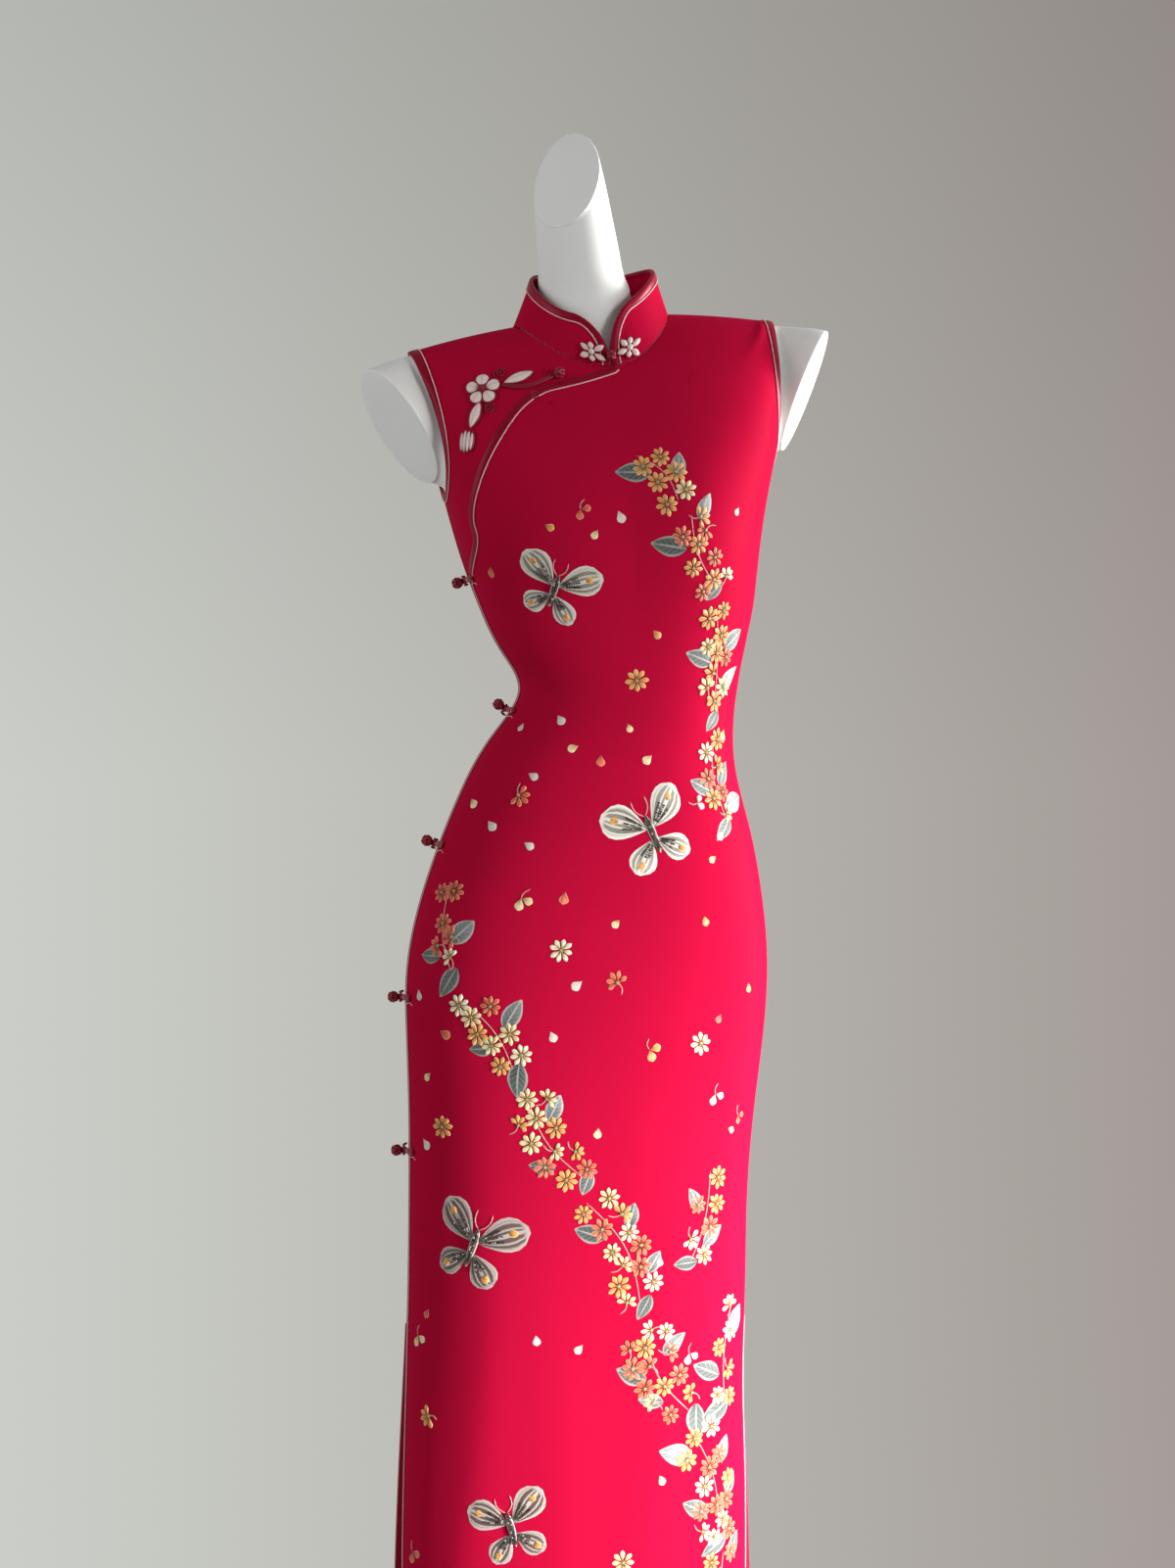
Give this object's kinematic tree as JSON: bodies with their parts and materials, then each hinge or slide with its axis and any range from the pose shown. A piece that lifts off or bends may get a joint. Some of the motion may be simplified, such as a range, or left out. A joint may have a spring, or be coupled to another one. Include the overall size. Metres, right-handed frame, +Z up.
{
  "type": "cheongsam dress on a dress form",
  "caption": "Sleeveless full-length cheongsam with a stand collar, curved side-front opening, frog and knot closures and side slits, worn by a limbless dress form on a pole and round base",
  "frame": {"origin": "the centre of the base plate's underside, on the floor", "axes": "+Z up, the dress's front faces -Y, and the wearer's left side is at +X"},
  "size_m": [0.4711, 0.34, 1.5946],
  "materials": {
    "silk": "satin",
    "binding": "satin",
    "pale_cord": "satin",
    "red_cord": "satin",
    "padded_petal": "satin",
    "form_white": "matt",
    "form_steel": "satin"
  },
  "bodies": {
    "root": {"armhole_left_binding": "binding", "armhole_left_cord": "pale_cord", "armhole_right_binding": "binding", "armhole_right_cord": "pale_cord", "back_panel": "silk", "chest_blossom": "padded_petal", "chest_bud": "padded_petal", "chest_cord": "red_cord", "chest_knot": "red_cord", "chest_leaf_lower": "padded_petal", "chest_leaf_upper": "padded_petal", "collar": "silk", "collar_binding": "binding", "collar_blossom_left": "padded_petal", "collar_blossom_right": "padded_petal", "collar_cord": "pale_cord", "collar_knot": "red_cord", "form_base": "form_steel", "form_pole": "form_steel", "form_torso": "form_white", "front_panel": "silk", "opening_binding": "binding", "opening_cord": "pale_cord", "right_yoke": "silk", "side_knot_1": "red_cord", "side_knot_2": "red_cord", "side_knot_3": "red_cord", "side_knot_4": "red_cord", "side_knot_5": "red_cord", "side_loop_1": "red_cord", "side_loop_2": "red_cord", "side_loop_3": "red_cord", "side_loop_4": "red_cord", "side_loop_5": "red_cord", "side_tab_1": "silk", "side_tab_2": "silk", "side_tab_3": "silk", "side_tab_4": "silk", "side_tab_5": "silk", "slit_left_back_binding": "binding", "slit_left_back_cord": "pale_cord", "slit_left_front_binding": "binding", "slit_left_front_cord": "pale_cord", "slit_right_back_binding": "binding", "slit_right_back_cord": "pale_cord"}
  },
  "joints": []
}
